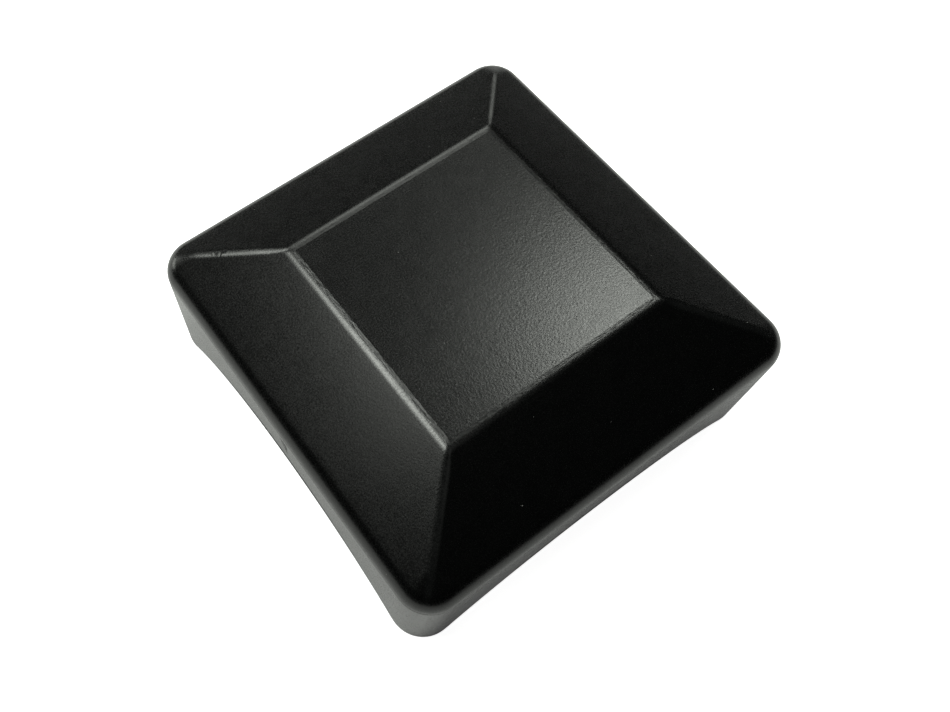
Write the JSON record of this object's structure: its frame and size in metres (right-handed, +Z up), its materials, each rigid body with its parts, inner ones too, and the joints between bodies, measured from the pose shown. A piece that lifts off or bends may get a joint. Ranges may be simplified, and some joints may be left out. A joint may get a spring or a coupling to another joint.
{
  "type": "fence post cap",
  "caption": "Square slip-over fence post cap, black moulded plastic: flat raised panel, bevelled top, rounded rim, arched skirt, adhesive pads inside.",
  "frame": {"origin": "middle of the plane of the four corner feet", "axes": "+Z up, out of the flat top panel; X and Y square to the four sides, with the chip on the -X side"},
  "size_m": [0.0824, 0.0824, 0.0351],
  "materials": {
    "black_plastic": "fine moulded grain, satin",
    "foam": "closed-cell foam tape, matte",
    "liner_paper": "siliconed paper"
  },
  "bodies": {
    "root": {"cap_shell": "black_plastic", "foam_pad_back_right": "foam", "foam_pad_back_left": "foam", "foam_pad_front_left": "foam", "foam_pad_front_right": "foam", "release_liner_back_right": "liner_paper", "release_liner_back_left": "liner_paper", "release_liner_front_left": "liner_paper", "release_liner_front_right": "liner_paper"}
  },
  "joints": []
}
